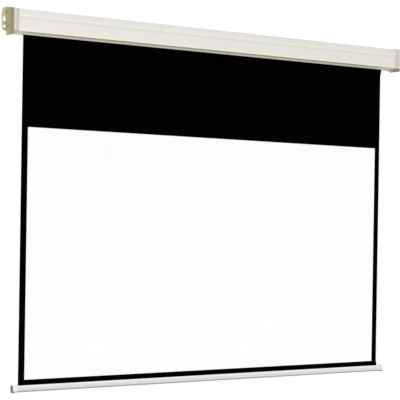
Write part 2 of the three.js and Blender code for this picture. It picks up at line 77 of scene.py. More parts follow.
# The photograph is square, and all that the camera computes from its size uses this.
PHOTO_PIXELS = 400
SENSOR_WIDTH = 36.0
FAR_CLIP = 200

# The lamp stands in front and above, and is broad enough to soften the shadows.
SUN_TOWARDS = (0.0, -0.8, 0.6)
SUN_ANGLE = math.radians(22)

# Half the floor's side, its tone, and how much it glows where it is seen
FLOOR_HALF = 40.0
FLOOR_TONE = 0.85
FLOOR_GLOW = 0.28

# The height of the case's front, how far down it its seam is, and the width of a plate's ear
CASE_FACE_MM = 95
UPPER_STRIP_MM = 32
EAR_MM = 21

# Cells across and down the cloth and the picture area
CLOTH_CELLS = (130, 110)
PICTURE_CELLS = (120, 75)

# The waves of the hanging cloth, each with its share of the depth, its length in pitches,
# how it leans down the drop in radians per metre, and where it starts
WAVES = ((0.6, 1.0, 1.3, 0.0), (0.4, 2.7, -0.8, 1.0))

# The sheet's right edge isn't cut quite straight: it stands out by so much under the case and
# above the bar, and the power keeps that to the last few centimetres of the width. Under the
# case it reaches so far down, and fades over the height of its slope.
STAND_OUT_MM = 4.7
STAND_OUT_POWER = 60
UNDER_CASE_MM = 30
UNDER_CASE_SLOPE_MM = 4

# The white coat's clearance to the cloth, and how far its upper left corner is above the solid's
COAT_GAP_MM = 0.05
CORNER_RISE_MM = 2.9

# The hem's clearance to its rod, its layers' share of the cloth's thickness, which keeps them
# apart, how wide its loop opens under the weld, and its steps round the rod and along the bar
HEM_ROD_GAP_MM = 0.35
HEM_WALL_SHARE = 0.92
HEM_OPENING_SHARE = 1.2
HEM_SIDES = 40
HEM_STATIONS = 60

# The cloth on the roller: its thickness, its clearance to the tube and the steps in a turn
WOUND_CLOTH_MM = 0.48
WOUND_GAP_MM = 0.3
SPIRAL_STEPS = 72

# The motor's lead: its radius, its bends and how finely both are divided
LEAD_RADIUS_MM = 2.6
LEAD_BEND_MM = 7
LEAD_BEND_STEPS = 12
LEAD_SIDES = 24

# The sharpest turn that a smooth shape takes without a crease
CREASE = math.radians(35)

# A Noise texture keeps between these values, so patterns are stretched from them.
NOISE_REACH = {"From Min": 0.3, "From Max": 0.7}

# How far a rounded normal agrees with the flat one on an edge, and away from it
EDGE_REACH = {"From Min": 0.78, "From Max": 0.97, "To Min": 1.0, "To Max": 0.0}


def linear(hex_colour):
    """Turns an sRGB hex colour into linear red, green, blue and alpha."""
    levels = [int(hex_colour[place : place + 2], 16) / 255 for place in (1, 3, 5)]
    return tuple(
        v / 12.92 if v <= 0.04045 else ((v + 0.055) / 1.055) ** 2.4 for v in levels
    ) + (1.0,)


def mm(length):
    """Turns millimetres into metres."""
    return length / 1000


def mm_of(length):
    """Turns metres into millimetres."""
    return length * 1000


def clamped(share):
    """Keeps a share between 0 and 1."""
    return min(max(share, 0), 1)


def per_mm(size):
    """The texture scale whose pattern repeats every so many millimetres."""
    return 1000 / size


def wave_per_mm(size):
    """The same for a Wave texture, whose bands are pi / 10 apart at scale 1."""
    return math.pi / 10 * per_mm(size)


def add(tree, kind, sockets=None, **settings):
    """Adds a node, sets its properties, and gives each socket a value or a link. A node that
    is given as a value is linked from its first live output."""
    made = tree.nodes.new(kind)
    for name, value in settings.items():
        setattr(made, name, value)
    live = [socket for socket in made.inputs if socket.enabled]
    for name, value in (sockets or {}).items():
        socket = live[name] if isinstance(name, int) else next(s for s in live if s.name == name)
        if isinstance(value, bpy.types.Node):
            value = next(output for output in value.outputs if output.enabled)
        if isinstance(value, bpy.types.NodeSocket):
            tree.links.new(value, socket)
        else:
            socket.default_value = value
    return made


# Finishes


def new_material(name):
    """A material with an empty tree: returns it, its tree and the object coordinates."""
    made = bpy.data.materials.new(name)
    made.use_nodes = True
    made.node_tree.nodes.clear()
    place = add(made.node_tree, "ShaderNodeTexCoord").outputs["Object"]
    return made, made.node_tree, place


def dress(tree, tint, rough, relief, depth_mm, strength, fixed=None):
    """Ends a tree in one shader with its colour, its roughness, the small relief of its
    surface, and what is the same all over."""
    bump = add(
        tree,
        "ShaderNodeBump",
        {"Height": relief, "Strength": strength, "Distance": mm(depth_mm)},
    )
    sockets = {"Base Color": tint, "Roughness": rough, "Normal": bump, **(fixed or {})}
    shader = add(tree, "ShaderNodeBsdfPrincipled", sockets)
    add(tree, "ShaderNodeOutputMaterial", {"Surface": shader})


def edge_mask(tree, reach_mm):
    """1 within a short reach of a sharp edge or the rim of a hole, and 0 elsewhere."""
    flat = add(tree, "ShaderNodeNewGeometry").outputs["Normal"]
    rounded = add(tree, "ShaderNodeBevel", {"Radius": mm(reach_mm)}, samples=4)
    facing = add(tree, "ShaderNodeVectorMath", {0: flat, 1: rounded}, operation="DOT_PRODUCT")
    return add(tree, "ShaderNodeMapRange", {"Value": facing, **EDGE_REACH})


def powder_coat(name, colour, bands, end_shade, span):
    """Polyester powder coat baked on extruded aluminium: satin, with a fine orange peel that
    breaks up the highlights, and faintly clouded. Its tone changes from top to bottom in bands
    of two heights in millimetres, a colour and whether only the front has it, which paint
    highlights and shadows as well as a greyer top, and as painted shade it is darker towards
    the right end. The orange peel is really about 0.8 mm, and is drawn coarser. span is the
    lowest and highest corner of what is coated."""
    made, tree, place = new_material(name)
    axes = add(tree, "ShaderNodeSeparateXYZ", {"Vector": place}).outputs
    face = {"From Min": span[0].y + mm(6), "From Max": span[0].y + mm(3)}
    on_front = add(tree, "ShaderNodeMapRange", {"Value": axes["Y"], **face})
    tint = colour
    for start, end, band_tone, only_front in bands:
        sockets = {"Value": axes["Z"], "From Min": mm(start), "From Max": mm(end)}
        share = add(tree, "ShaderNodeMapRange", sockets)
        if only_front:
            share = add(tree, "ShaderNodeMath", {0: share, 1: on_front}, operation="MULTIPLY")
        sockets = {"Factor": share, "A": tint, "B": band_tone}
        tint = add(tree, "ShaderNodeMix", sockets, data_type="RGBA")
    cloud = add(
        tree, "ShaderNodeTexNoise", {"Vector": place, "Scale": per_mm(160), "Detail": 3.0}
    )
    clouded = add(tree, "ShaderNodeMapRange", {"Value": cloud, **NOISE_REACH, "To Max": 0.2})
    # Painted shade: the coat is multiplied darker towards the right end, together with the random
    # cloud.
    along = add(
        tree,
        "ShaderNodeMapRange",
        {"Value": axes["X"], "From Min": span[0].x, "From Max": span[1].x, "To Max": 0.7},
    )
    end_shade_and_cloud = add(tree, "ShaderNodeMath", {0: along, 1: clouded}, operation="ADD")
    tint = add(
        tree,
        "ShaderNodeMix",
        {"Factor": end_shade_and_cloud, "A": tint, "B": end_shade},
        data_type="RGBA",
        blend_type="MULTIPLY",
    )
    rough = add(
        tree,
        "ShaderNodeMapRange",
        {"Value": cloud, **NOISE_REACH, "To Min": 0.38, "To Max": 0.47},
    )
    peel = add(
        tree, "ShaderNodeTexNoise", {"Vector": place, "Scale": per_mm(1.6), "Detail": 1.0}
    )
    dress(tree, tint, rough, peel, depth_mm=0.05, strength=0.35)
    return made


def moulded_plastic(name, colour, shade, grain_mm, roughness):
    """Plastic from a mould or a die, such as ABS, nylon or PVC: matt, finely grained, and a
    little uneven in tone where the melt met. The grain is drawn coarser than its 0.3 mm."""
    made, tree, place = new_material(name)
    flow = add(tree, "ShaderNodeTexNoise", {"Vector": place, "Scale": per_mm(24)})
    share = add(tree, "ShaderNodeMapRange", {"Value": flow, **NOISE_REACH})
    tint = add(tree, "ShaderNodeMix", {"Factor": share, "A": colour, "B": shade}, data_type="RGBA")
    grain = add(tree, "ShaderNodeTexNoise", {"Vector": place, "Scale": per_mm(grain_mm)})
    reach = {"To Min": roughness - 0.06, "To Max": roughness + 0.08}
    rough = add(tree, "ShaderNodeMapRange", {"Value": grain, **NOISE_REACH, **reach})
    dress(tree, tint, rough, grain, depth_mm=0.08, strength=0.3, fixed={"IOR": 1.54})
    return made


def painted_folded_steel(name, colour, shade, front_tone, ear_lit_tone, edge_dark, primer, ear_from):
    """Stove-enamelled sheet steel, cut and folded: satin and streaked down the fold. Painted shade
    darkens it where it stands out from the wall, and the ear against the wall has its own greyer
    tone, the lit copy of the same paint. It is darker within a few millimetres of its edges, fold
    and hole rims, and has small chips to the primer. Its colour is multiplied by a given tone at
    the front, as painted shade."""
    made, tree, place = new_material(name)
    drawn_out = add(tree, "ShaderNodeMapping", {"Vector": place, "Scale": (1, 1, 0.12)})
    streak = add(
        tree, "ShaderNodeTexNoise", {"Vector": drawn_out, "Scale": per_mm(7), "Detail": 3.0}
    )
    share = add(tree, "ShaderNodeMapRange", {"Value": streak, **NOISE_REACH})
    tint = add(tree, "ShaderNodeMix", {"Factor": share, "A": colour, "B": shade}, data_type="RGBA")
    axes = add(tree, "ShaderNodeSeparateXYZ", {"Vector": place}).outputs
    # Painted shade: the web darkens towards the front, away from the wall.
    by_wall, in_front = mm(-6), mm(-52)
    forward = {"Value": axes["Y"], "From Min": by_wall, "From Max": in_front}
    tint = add(
        tree,
        "ShaderNodeMix",
        {"Factor": add(tree, "ShaderNodeMapRange", forward), "A": tint, "B": front_tone},
        data_type="RGBA",
        blend_type="MULTIPLY",
    )
    # The ear against the wall gets its own tone, the lit copy of the same paint as the shaded web.
    out = add(tree, "ShaderNodeMath", {0: axes["X"]}, operation="ABSOLUTE")
    on_ear = add(
        tree,
        "ShaderNodeMapRange",
        {"Value": out, "From Min": ear_from, "From Max": ear_from + mm(1)},
    )
    tint = add(
        tree, "ShaderNodeMix", {"Factor": on_ear, "A": tint, "B": ear_lit_tone}, data_type="RGBA"
    )
    # Darker within a few millimetres of the edges, the fold and the hole rims
    rim = edge_mask(tree, reach_mm=2.8)
    near = add(tree, "ShaderNodeMath", {0: rim, 1: 0.6}, operation="MULTIPLY")
    tint = add(tree, "ShaderNodeMix", {"Factor": near, "A": tint, "B": edge_dark}, data_type="RGBA")
    patch = add(tree, "ShaderNodeTexNoise", {"Vector": place, "Scale": per_mm(2.2), "Detail": 4.0})
    few = {"From Min": 0.5, "From Max": 0.58}
    chips = add(tree, "ShaderNodeMapRange", {"Value": patch, **few})
    edge = edge_mask(tree, reach_mm=0.9)
    worn = add(tree, "ShaderNodeMath", {0: edge, 1: chips}, operation="MULTIPLY")
    tint = add(tree, "ShaderNodeMix", {"Factor": worn, "A": tint, "B": primer}, data_type="RGBA")
    rough = add(
        tree,
        "ShaderNodeMapRange",
        {"Value": streak, **NOISE_REACH, "To Min": 0.42, "To Max": 0.55},
    )
    dress(tree, tint, rough, streak, depth_mm=0.06, strength=0.2)
    return made


def bare_metal(name, colour, shade, drawn, roughness, line_mm):
    """Bare metal with the fine lines that drawing, extruding or turning leaves: they stretch
    a highlight across them, and the tone shifts a little from patch to patch. The lines are
    really under 0.1 mm apart, and are drawn coarser."""
    made, tree, place = new_material(name)
    drawn_out = add(tree, "ShaderNodeMapping", {"Vector": place, "Scale": drawn})
    lines = add(
        tree, "ShaderNodeTexNoise", {"Vector": drawn_out, "Scale": per_mm(line_mm), "Detail": 3.0}
    )
    patch = add(tree, "ShaderNodeTexNoise", {"Vector": place, "Scale": per_mm(18)})
    share = add(tree, "ShaderNodeMapRange", {"Value": patch, **NOISE_REACH})
    tint = add(tree, "ShaderNodeMix", {"Factor": share, "A": colour, "B": shade}, data_type="RGBA")
    reach = {"To Min": roughness - 0.07, "To Max": roughness + 0.09}
    rough = add(tree, "ShaderNodeMapRange", {"Value": lines, **NOISE_REACH, **reach})
    dress(tree, tint, rough, lines, depth_mm=0.03, strength=0.25, fixed={"Metallic": 1.0})
    return made


def coated_cloth(name, colour, shade, roughness, gloss):
    """Woven polyester cloth under a matt vinyl coat: the threads only just show through it.
    They are really about 0.5 mm apart, and are drawn coarser to show at all."""
    made, tree, _ = new_material(name)
    along = add(tree, "ShaderNodeUVMap", uv_map="cloth")
    thread = {"Vector": along, "Scale": wave_per_mm(1.2)}
    warp = add(tree, "ShaderNodeTexWave", thread, bands_direction="X").outputs["Fac"]
    weft = add(tree, "ShaderNodeTexWave", thread, bands_direction="Y").outputs["Fac"]
    weave = add(tree, "ShaderNodeMath", {0: warp, 1: weft}, operation="MULTIPLY")
    cloud = add(
        tree, "ShaderNodeTexNoise", {"Vector": along, "Scale": per_mm(220), "Detail": 3.0}
    )
    share = add(tree, "ShaderNodeMapRange", {"Value": cloud, **NOISE_REACH})
    tint = add(tree, "ShaderNodeMix", {"Factor": share, "A": colour, "B": shade}, data_type="RGBA")
    reach = {"To Min": roughness - 0.05, "To Max": roughness + 0.05}
    rough = add(tree, "ShaderNodeMapRange", {"Value": weave, **reach})
    fixed = {"Specular IOR Level": gloss}
    dress(tree, tint, rough, weave, depth_mm=0.05, strength=0.2, fixed=fixed)
    return made


def cap_plastic_shaded(name, colour, shade, shaded_tone, cap_shade, outer_face, low_edge):
    """Injection-moulded ABS cap that hangs at hand height: warm white and satin. Painted shade
    gives the caps at the right end a greyer tone, and darkens the outer face and lower edge in
    mottled patches, reaching further in towards the foot."""
    made, tree, place = new_material(name)
    flow = add(tree, "ShaderNodeTexNoise", {"Vector": place, "Scale": per_mm(14)})
    share = add(tree, "ShaderNodeMapRange", {"Value": flow, **NOISE_REACH})
    tint = add(tree, "ShaderNodeMix", {"Factor": share, "A": colour, "B": shade}, data_type="RGBA")
    axes = add(tree, "ShaderNodeSeparateXYZ", {"Vector": place}).outputs
    # Painted shade: the cap at the right end takes a greyer tone.
    at_right = add(tree, "ShaderNodeMath", {0: axes["X"], 1: 0.0}, operation="GREATER_THAN")
    sockets = {"Factor": at_right, "A": tint, "B": shaded_tone}
    tint = add(tree, "ShaderNodeMix", sockets, data_type="RGBA")
    # Painted shade, mottled: the outer face and the lower edge darken, further in towards the foot.
    out = add(tree, "ShaderNodeMath", {0: axes["X"]}, operation="ABSOLUTE")
    falling = {"From Min": low_edge + mm(24), "From Max": low_edge + mm(3), "To Max": mm(2.4)}
    further = add(tree, "ShaderNodeMapRange", {"Value": axes["Z"], **falling})
    reach = add(tree, "ShaderNodeMath", {0: out, 1: further}, operation="ADD")
    end_face = {"From Min": outer_face - mm(1.2), "From Max": outer_face - mm(0.4)}
    painted_light = add(tree, "ShaderNodeMapRange", {"Value": reach, **end_face})
    foot = {"From Min": low_edge + mm(10), "From Max": low_edge + mm(2)}
    lower = add(tree, "ShaderNodeMapRange", {"Value": axes["Z"], **foot})
    either = add(tree, "ShaderNodeMath", {0: painted_light, 1: lower}, operation="MAXIMUM")
    spots = add(tree, "ShaderNodeTexNoise", {"Vector": place, "Scale": per_mm(11), "Detail": 2.0})
    patch = add(tree, "ShaderNodeMapRange", {"Value": spots, **NOISE_REACH, "To Min": 0.8})
    shaded = add(tree, "ShaderNodeMath", {0: either, 1: patch}, operation="MULTIPLY")
    tint = add(tree, "ShaderNodeMix", {"Factor": shaded, "A": tint, "B": cap_shade}, data_type="RGBA")
    grain = add(tree, "ShaderNodeTexNoise", {"Vector": place, "Scale": per_mm(1.3)})
    rough = add(
        tree, "ShaderNodeMapRange", {"Value": grain, **NOISE_REACH, "To Min": 0.4, "To Max": 0.52}
    )
    dress(tree, tint, rough, grain, depth_mm=0.06, strength=0.25, fixed={"IOR": 1.54})
    return made


def nodes_in(slot):
    """The CAD nodes that share one of the record's material slots."""
    return [part["node"] for part in frame["record"]["subparts"] if part["material_slot"] == slot]


def finish_nodes(slot, material):
    """Gives each CAD node of a slot its material."""
    for node in nodes_in(slot):
        cad = frame["nodes"][node]
        if not cad.material_slots:
            cad.data.materials.append(material)
        for holder in cad.material_slots:
            holder.material = material


# Shapes


def new_piece(name, mesh, material, smooth=True):
    """Links a piece whose place is in its mesh, and gives it its material."""
    piece = bpy.data.objects.new(name, mesh)
    bpy.context.scene.collection.objects.link(piece)
    mesh.materials.clear()
    mesh.materials.append(material)
    mesh.polygons.foreach_set("use_smooth", [smooth] * len(mesh.polygons))
    return piece


def stand_for(piece, node, body):
    """The piece takes a CAD node's place and its body: the node is hidden and the piece hangs from
    the body.
    """
    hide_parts(node)
    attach(piece, body)


def sharpen(shape):
    """Keeps the corners of a smooth shape crisp."""
    shape.normal_update()
    for edge in shape.edges:
        edge.smooth = edge.calc_face_angle(0) < CREASE


def closed_sheet(name, across, down, point, cloth_place):
    """A thin sheet as two grids joined round the rim. point gives the front or back corner
    for shares across and down, and cloth_place where that corner lies in the flat cloth."""
    shape = bmesh.new()
    cloth = shape.loops.layers.uv.new("cloth")
    corner = {}
    for side in (0, 1):
        for row in range(down + 1):
            for column in range(across + 1):
                shares = column / across, row / down
                made = shape.verts.new(point(*shares, side))
                corner[side, row, column] = made, cloth_place(*shares)

    def quad(*keys):
        face = shape.faces.new([corner[key][0] for key in keys])
        for loop, key in zip(face.loops, keys):
            loop[cloth].uv = corner[key][1]

    for row in range(down):
        for column in range(across):
            ring = [(row, column), (row + 1, column), (row + 1, column + 1), (row, column + 1)]
            quad(*[(0, *place) for place in ring])
            quad(*[(1, *place) for place in reversed(ring)])
    rim = [(0, column) for column in range(across)]
    rim += [(row, across) for row in range(down)]
    rim += [(down, column) for column in range(across, 0, -1)]
    rim += [(row, 0) for row in range(down, 0, -1)]
    for here, there in zip(rim, rim[1:] + rim[:1]):
        quad((0, *here), (0, *there), (1, *there), (1, *here))
    sharpen(shape)
    mesh = bpy.data.meshes.new(name)
    shape.to_mesh(mesh)
    shape.free()
    return mesh


def new_tree(name, **inputs):
    """A Geometry Nodes tree with named sizes as inputs: returns it, its input and its output."""
    tree = bpy.data.node_groups.new(name, "GeometryNodeTree")
    tree.interface.new_socket("Geometry", in_out="INPUT", socket_type="NodeSocketGeometry")
    tree.interface.new_socket("Geometry", in_out="OUTPUT", socket_type="NodeSocketGeometry")
    for label, value in inputs.items():
        socket = tree.interface.new_socket(
            label.replace("_", " ").capitalize(), in_out="INPUT", socket_type="NodeSocketFloat"
        )
        socket.default_value = value
    return tree, add(tree, "NodeGroupInput").outputs, add(tree, "NodeGroupOutput")


def run_tree(name, tree, seed_mesh, material, **values):
    """Runs a tree once on a seed mesh, with its inputs set, and keeps the plain mesh."""
    piece = bpy.data.objects.new(name, seed_mesh)
    modifier = piece.modifiers.new(name, "NODES")
    modifier.node_group = tree
    for item in tree.interface.items_tree:
        key = item.name.lower().replace(" ", "_")
        if item.in_out == "INPUT" and key in values:
            modifier[item.identifier] = float(values[key])
    bpy.context.scene.collection.objects.link(piece)
    bpy.context.view_layer.update()
    graph = bpy.context.evaluated_depsgraph_get()
    mesh = bpy.data.meshes.new_from_object(piece.evaluated_get(graph))
    if not mesh.polygons:
        raise RuntimeError(f"{name} came out of its tree with no faces")
    piece.modifiers.remove(modifier)
    piece.data = mesh
    if not mesh.materials:
        mesh.materials.append(material)
    return piece


# Sizes and colours that a user would change


class ScreenStage(bpy.types.PropertyGroup):
    """Camera, lamps and floor"""

    camera_place: bpy.props.FloatVectorProperty(
        name="Camera place",
        description="Where the camera stands",
        subtype="TRANSLATION",
        unit="LENGTH",
        default=(-3.4065, -5.2485, -0.8601),
    )
    camera_yaw: bpy.props.FloatProperty(
        name="Camera yaw",
        description="How far the camera is turned to the right",
        subtype="ANGLE",
        default=math.radians(32.416),
    )
    camera_pitch: bpy.props.FloatProperty(
        name="Camera pitch",
        description="How far the camera looks up",
        subtype="ANGLE",
        default=math.radians(-0.182),
    )
    camera_roll: bpy.props.FloatProperty(
        name="Camera roll",
        description="How far the camera leans over",
        subtype="ANGLE",
        default=math.radians(0.896),
    )
    focal_pixels: bpy.props.FloatProperty(
        name="Focal length",
        description="Focal length in pixels of the square photograph",
        default=1321.2,
    )
    centre_row: bpy.props.FloatProperty(
        name="Centre row",
        description="Row of the photograph that the optical axis meets",
        default=228.37,
    )
    sun_strength: bpy.props.FloatProperty(
        name="Sun strength",
        description="Strength of the lamp from above the front",
        default=1.51,
    )
    fill_strength: bpy.props.FloatProperty(
        name="Fill strength",
        description="Level of the light from all round",
        default=0.56,
    )
    floor_drop: bpy.props.FloatProperty(
        name="Floor drop",
        description="How far the floor lies below the bottom bar",
        unit="LENGTH",
        default=0.75,
    )


class ScreenSheet(bpy.types.PropertyGroup):
    """Hanging sheet"""

    ripple_depth: bpy.props.FloatProperty(
        name="Ripple depth",
        description="How far the hanging cloth waves in and out",
        unit="LENGTH",
        default=mm(0.7),
    )
    ripple_pitch: bpy.props.FloatProperty(
        name="Ripple pitch",
        description="Distance from one wave to the next",
        unit="LENGTH",
        default=mm(310),
    )
    slant: bpy.props.FloatProperty(
        name="Slant",
        description="How far the white area's upper edge falls from left to right",
        unit="LENGTH",
        default=mm(7.6),
    )
    turns_left: bpy.props.FloatProperty(
        name="Turns left",
        description="Turns of cloth that stay on the roller when the screen is down",
        default=1.25,
    )
    black: bpy.props.FloatVectorProperty(
        name="Black",
        description="Colour of the cloth",
        subtype="COLOR",
        size=4,
        default=linear("#010101"),
    )
    white: bpy.props.FloatVectorProperty(
        name="White",
        description="Colour of the picture area",
        subtype="COLOR",
        size=4,
        default=linear("#FBFBFB"),
    )


class ScreenCase(bpy.types.PropertyGroup):
    """Case and its ends"""

    paint: bpy.props.FloatVectorProperty(
        name="Case paint",
        description="Colour of the case",
        subtype="COLOR",
        size=4,
        default=linear("#E8E4DF"),
    )
    # A painted highlight: the case's lower front turns paler and warmer.
    warm_highlight: bpy.props.FloatVectorProperty(
        name="Yellowed paint",
        description="Colour that the case's lower edge has turned with age",
        subtype="COLOR",
        size=4,
        default=linear("#EFE8D9"),
    )
    # A painted shade: the case's paint darkens towards its right end.
    right_end_shade: bpy.props.FloatVectorProperty(
        name="Far end tone",
        description="What the case's paint is multiplied by towards its right end",
        subtype="COLOR",
        size=4,
        default=(0.885, 0.895, 0.87, 1.0),
    )
    collar: bpy.props.FloatVectorProperty(
        name="Collars",
        description="Colour of the two grey collars",
        subtype="COLOR",
        size=4,
        default=linear("#CECBC4"),
    )
    cap: bpy.props.FloatVectorProperty(
        name="End caps",
        description="Colour of the end caps",
        subtype="COLOR",
        size=4,
        default=linear("#D9D1C9"),
    )
    plate: bpy.props.FloatVectorProperty(
        name="Wall plates",
        description="Colour of the folded steel plates",
        subtype="COLOR",
        size=4,
        default=linear("#D7CE98"),
    )


class ScreenBar(bpy.types.PropertyGroup):
    """Bottom bar"""

    paint: bpy.props.FloatVectorProperty(
        name="Bar paint",
        description="Colour of the bottom bar",
        subtype="COLOR",
        size=4,
        default=linear("#EFEDF5"),
    )
    # A painted shade: the bar's lower edge darkens to this tone.
    shaded_tone: bpy.props.FloatVectorProperty(
        name="Greyed paint",
        description="Colour that the bar has turned towards its lower edge",
        subtype="COLOR",
        size=4,
        default=linear("#D8D7DC"),
    )
    # A painted shade: the bar's paint darkens towards its right end.
    right_end_shade: bpy.props.FloatVectorProperty(
        name="Far end tone",
        description="What the bar's paint is multiplied by towards its right end",
        subtype="COLOR",
        size=4,
        default=(0.985, 0.985, 0.98, 1.0),
    )
    cap: bpy.props.FloatVectorProperty(
        name="Bar caps",
        description="Colour of the caps on the bar",
        subtype="COLOR",
        size=4,
        default=linear("#F2ECE4"),
    )


# Makers


class ROLLSCREEN_OT_stage(bpy.types.Operator):
    """Makes the camera, the lamp, the light from all round and the floor"""

    bl_idname = "rollscreen.stage"
    bl_label = "Studio"

    def execute(self, context):
        sizes = context.scene.rollscreen_stage
        self.make_camera(context.scene, sizes)
        self.make_world(context.scene, sizes)
        self.make_sun(context.scene, sizes)
        self.make_floor(sizes)
        context.scene.view_settings.view_transform = "Standard"
        return {"FINISHED"}

    def make_camera(self, scene, sizes):
        yaw, pitch, roll = sizes.camera_yaw, sizes.camera_pitch, sizes.camera_roll
        level = Vector((math.sin(yaw), math.cos(yaw), 0))
        right = Vector((math.cos(yaw), -math.sin(yaw), 0))
        forward = level * math.cos(pitch) + Vector((0, 0, math.sin(pitch)))
        up = Vector((0, 0, math.cos(pitch))) - level * math.sin(pitch)
        leant_right = right * math.cos(roll) + up * math.sin(roll)
        leant_up = up * math.cos(roll) - right * math.sin(roll)
        data = bpy.data.cameras.new("camera")
        data.sensor_width = SENSOR_WIDTH
        data.lens = sizes.focal_pixels / PHOTO_PIXELS * SENSOR_WIDTH
        data.shift_y = sizes.centre_row / PHOTO_PIXELS - 0.5
        data.clip_end = FAR_CLIP
        camera = bpy.data.objects.new("camera", data)
        scene.collection.objects.link(camera)
        turn = Matrix((leant_right, leant_up, -forward)).transposed().to_4x4()
        camera.matrix_world = Matrix.Translation(sizes.camera_place) @ turn
        scene.camera = camera

    def seen_directly(self, tree):
        """1 for rays that show the background: straight, in a gloss or through glass."""
        rays = add(tree, "ShaderNodeLightPath").outputs
        seen = rays["Is Camera Ray"]
        for kind in ("Is Glossy Ray", "Is Transmission Ray"):
            seen = add(tree, "ShaderNodeMath", {0: seen, 1: rays[kind]}, operation="MAXIMUM")
        return seen

    def make_world(self, scene, sizes):
        world = bpy.data.worlds.new("studio")
        world.use_nodes = True
        tree = world.node_tree
        tree.nodes.clear()
        strength = add(
            tree,
            "ShaderNodeMapRange",
            {
                "Value": self.seen_directly(tree),
                "To Min": sizes.fill_strength,
                "To Max": 1.0,
            },
        )
        light = add(
            tree, "ShaderNodeBackground", {"Color": (1, 1, 1, 1), "Strength": strength}
        )
        add(tree, "ShaderNodeOutputWorld", {"Surface": light})
        scene.world = world

    def make_sun(self, scene, sizes):
        data = bpy.data.lights.new("sun", "SUN")
        data.energy = sizes.sun_strength
        data.angle = SUN_ANGLE
        sun = bpy.data.objects.new("sun", data)
        scene.collection.objects.link(sun)
        sun.matrix_world = Vector(SUN_TOWARDS).to_track_quat("Z", "Y").to_matrix().to_4x4()

    def make_floor(self, sizes):
        height = cad_box[0].z - sizes.floor_drop
        signs = ((-1, -1), (1, -1), (1, 1), (-1, 1))
        corners = [(FLOOR_HALF * x, FLOOR_HALF * y) for x, y in signs]
        mesh = bpy.data.meshes.new("floor")
        mesh.from_pydata([(x, y, height) for x, y in corners], [], [(0, 1, 2, 3)])
        made = bpy.data.materials.new("pale_floor")
        made.use_nodes = True
        tree = made.node_tree
        tree.nodes.clear()
        tone = (FLOOR_TONE, FLOOR_TONE, FLOOR_TONE, 1)
        matt = add(tree, "ShaderNodeBsdfDiffuse", {"Color": tone})
        glow = add(tree, "ShaderNodeEmission", {"Color": (1, 1, 1, 1), "Strength": FLOOR_GLOW})
        lifted = add(tree, "ShaderNodeAddShader", {0: matt, 1: glow})
        shown = add(
            tree, "ShaderNodeMixShader", {0: self.seen_directly(tree), 1: matt, 2: lifted}
        )
        add(tree, "ShaderNodeOutputMaterial", {"Surface": shown})
        new_piece("floor", mesh, made, smooth=False)


def cloth_materials(sizes):
    """The black cloth and its white projection coat, made once for all that is cut from them."""
    black = bpy.data.materials.get("black_vinyl_coated_cloth") or coated_cloth(
        "black_vinyl_coated_cloth", sizes.black, linear("#030304"), roughness=0.85, gloss=0.005
    )
    white = bpy.data.materials.get("matt_white_projection_coat") or coated_cloth(
        "matt_white_projection_coat", sizes.white, linear("#F9F9F9"), roughness=0.9, gloss=0.2
    )
    return black, white


